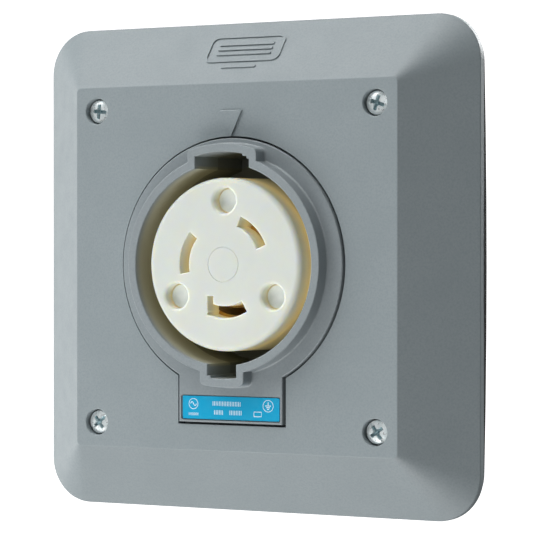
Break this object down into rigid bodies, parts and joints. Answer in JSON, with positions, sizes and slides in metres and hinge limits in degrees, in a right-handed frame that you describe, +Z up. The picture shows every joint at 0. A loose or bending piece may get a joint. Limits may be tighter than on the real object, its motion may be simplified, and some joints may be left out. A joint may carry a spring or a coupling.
{
  "type": "locking receptacle with cover plate",
  "caption": "Square bevelled cover plate carrying a twist-locking power receptacle in a round shroud collar, with a rating label, captive cover screws and rear wire clamps.",
  "frame": {"origin": "centre of the four cover screws on the wall plane, which is the back of the gasket", "axes": "+X to the right and +Z up as seen from the front, +Y into the wall; the front faces -Y"},
  "size_m": [0.1298, 0.0474, 0.1298],
  "materials": {
    "plate_gray": "fine moulded grain",
    "shroud_gray": "satin moulded",
    "cup_gray": "satin moulded",
    "insert_white": "satin nylon",
    "label_blue": "printed foil",
    "black_foam": "closed-cell foam",
    "terminal_black": "thermoset",
    "zinc_steel": "bright zinc plate",
    "rivet_steel": "nickel plate",
    "contact_brass": "rolled strip",
    "terminal_brass": "bright",
    "ground_green": "green dyed zinc",
    "fibre_washer": "vulcanised fibre"
  },
  "bodies": {
    "root": {"cover_plate": "plate_gray", "cover_gasket": "black_foam", "shroud_flange": "shroud_gray", "flange_seal": "black_foam", "receptacle_cup": "cup_gray", "label_plate": "label_blue", "insert_face": "insert_white", "contact_carrier": "insert_white", "insert_seal": "black_foam", "terminal_body": "terminal_black", "rear_cap": "terminal_black", "flange_screw_top_left": "zinc_steel", "flange_screw_top_right": "zinc_steel", "flange_screw_bottom_right": "zinc_steel", "flange_screw_bottom_left": "zinc_steel", "assembly_rivet_1": "rivet_steel", "assembly_rivet_2": "rivet_steel", "assembly_rivet_3": "rivet_steel", "contact_line_x": "contact_brass", "contact_line_y": "contact_brass", "contact_ground": "contact_brass"},
    "retainer_top_left": {"screw_retainer_top_left": "fibre_washer"},
    "screw_top_left": {"cover_screw_top_left": "zinc_steel"},
    "retainer_top_right": {"screw_retainer_top_right": "fibre_washer"},
    "screw_top_right": {"cover_screw_top_right": "zinc_steel"},
    "retainer_bottom_right": {"screw_retainer_bottom_right": "fibre_washer"},
    "screw_bottom_right": {"cover_screw_bottom_right": "zinc_steel"},
    "retainer_bottom_left": {"screw_retainer_bottom_left": "fibre_washer"},
    "screw_bottom_left": {"cover_screw_bottom_left": "zinc_steel"},
    "clamp_line_x": {"clamp_plate_line_x": "zinc_steel"},
    "wire_screw_line_x": {"terminal_screw_line_x": "terminal_brass"},
    "clamp_line_y": {"clamp_plate_line_y": "zinc_steel"},
    "wire_screw_line_y": {"terminal_screw_line_y": "terminal_brass"},
    "clamp_ground": {"clamp_plate_ground": "zinc_steel"},
    "wire_screw_ground": {"terminal_screw_ground": "ground_green"}
  },
  "joints": [
    {"name": "cover_screw_top_left_back_out", "type": "slide", "parent": "root", "child": "retainer_top_left", "axis": [0, -1, 0], "range_m": [0, 0.00476]},
    {"name": "cover_screw_top_left_turn", "type": "hinge", "parent": "retainer_top_left", "child": "screw_top_left", "pos_m": [-0.04167, 0, 0.04167], "axis": [0, -1, 0], "range_deg": [0, 2160]},
    {"name": "cover_screw_top_right_back_out", "type": "slide", "parent": "root", "child": "retainer_top_right", "axis": [0, -1, 0], "range_m": [0, 0.00476]},
    {"name": "cover_screw_top_right_turn", "type": "hinge", "parent": "retainer_top_right", "child": "screw_top_right", "pos_m": [0.04167, 0, 0.04167], "axis": [0, -1, 0], "range_deg": [0, 2160]},
    {"name": "cover_screw_bottom_right_back_out", "type": "slide", "parent": "root", "child": "retainer_bottom_right", "axis": [0, -1, 0], "range_m": [0, 0.00476]},
    {"name": "cover_screw_bottom_right_turn", "type": "hinge", "parent": "retainer_bottom_right", "child": "screw_bottom_right", "pos_m": [0.04167, 0, -0.04167], "axis": [0, -1, 0], "range_deg": [0, 2160]},
    {"name": "cover_screw_bottom_left_back_out", "type": "slide", "parent": "root", "child": "retainer_bottom_left", "axis": [0, -1, 0], "range_m": [0, 0.00476]},
    {"name": "cover_screw_bottom_left_turn", "type": "hinge", "parent": "retainer_bottom_left", "child": "screw_bottom_left", "pos_m": [-0.04167, 0, -0.04167], "axis": [0, -1, 0], "range_deg": [0, 2160]},
    {"name": "clamp_line_x_slide", "type": "slide", "parent": "root", "child": "clamp_line_x", "axis": [0.7071, 0, 0.7071], "range_m": [-0.00238, 0.00119]},
    {"name": "wire_screw_line_x_turn", "type": "hinge", "parent": "clamp_line_x", "child": "wire_screw_line_x", "pos_m": [0, 0.0145, 0.0007], "axis": [0.7071, 0, 0.7071], "range_deg": [-1080, 540]},
    {"name": "clamp_line_y_slide", "type": "slide", "parent": "root", "child": "clamp_line_y", "axis": [-0.9659, 0, 0.2588], "range_m": [-0.00238, 0.00119]},
    {"name": "wire_screw_line_y_turn", "type": "hinge", "parent": "clamp_line_y", "child": "wire_screw_line_y", "pos_m": [0, 0.0145, 0.0007], "axis": [-0.9659, 0, 0.2588], "range_deg": [-1080, 540]},
    {"name": "clamp_ground_slide", "type": "slide", "parent": "root", "child": "clamp_ground", "axis": [0, 0, -1], "range_m": [-0.00238, 0.00119]},
    {"name": "wire_screw_ground_turn", "type": "hinge", "parent": "clamp_ground", "child": "wire_screw_ground", "pos_m": [0, 0.0145, 0.0007], "axis": [0, 0, -1], "range_deg": [-1080, 540]}
  ],
  "couplings": [
    {"joint": "cover_screw_top_left_turn", "follows": "cover_screw_top_left_back_out", "rad_per_m": 7915.8},
    {"joint": "cover_screw_top_right_turn", "follows": "cover_screw_top_right_back_out", "rad_per_m": 7915.8},
    {"joint": "cover_screw_bottom_right_turn", "follows": "cover_screw_bottom_right_back_out", "rad_per_m": 7915.8},
    {"joint": "cover_screw_bottom_left_turn", "follows": "cover_screw_bottom_left_back_out", "rad_per_m": 7915.8},
    {"joint": "wire_screw_line_x_turn", "follows": "clamp_line_x_slide", "rad_per_m": 7915.8},
    {"joint": "wire_screw_line_y_turn", "follows": "clamp_line_y_slide", "rad_per_m": 7915.8},
    {"joint": "wire_screw_ground_turn", "follows": "clamp_ground_slide", "rad_per_m": 7915.8}
  ]
}
